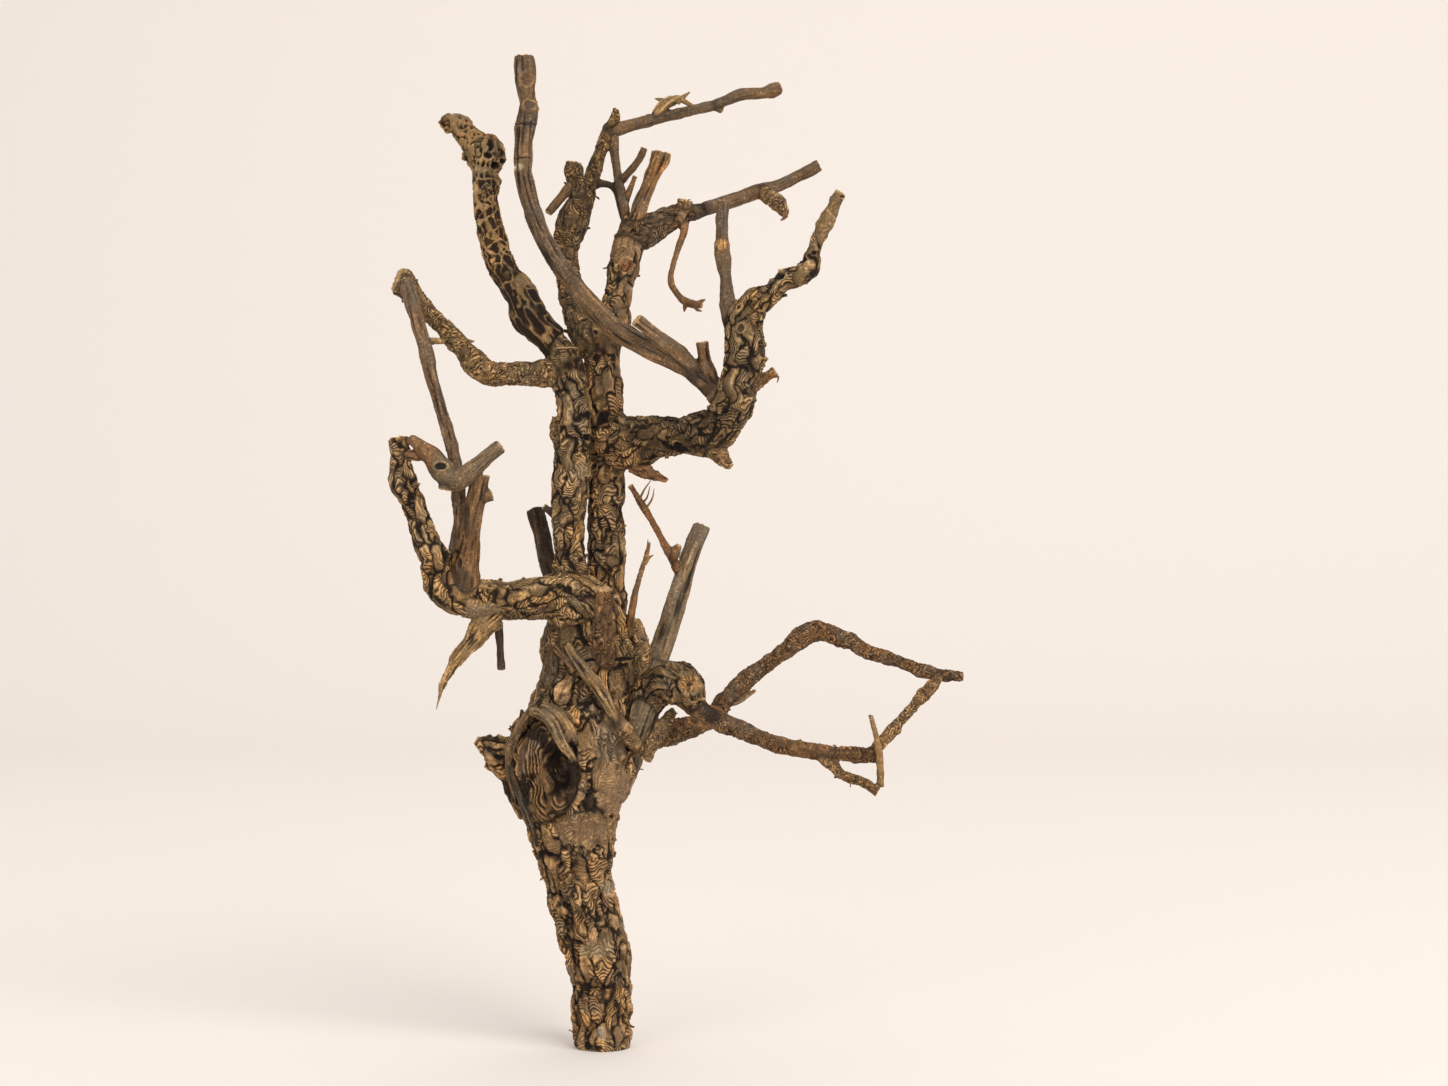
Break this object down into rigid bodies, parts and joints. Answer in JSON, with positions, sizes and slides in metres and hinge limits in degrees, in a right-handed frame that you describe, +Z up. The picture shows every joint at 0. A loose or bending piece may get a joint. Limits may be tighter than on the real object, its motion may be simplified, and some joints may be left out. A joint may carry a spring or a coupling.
{
  "type": "tree-shaped driftwood",
  "caption": "Upright piece of weathered driftwood shaped like a small bare tree, with a knotted head, two standing trunks and gnarled limbs, that stands on a sawn foot.",
  "frame": {"origin": "middle of the sawn face at the foot", "axes": "+Z up along the trunk, +X to the right of the front, +Y away from the front"},
  "size_m": [0.16, 0.0779, 0.2795],
  "materials": {
    "wood": "weathered bark and bare grey-brown wood, dull"
  },
  "bodies": {
    "root": {"driftwood": "wood"}
  },
  "joints": []
}
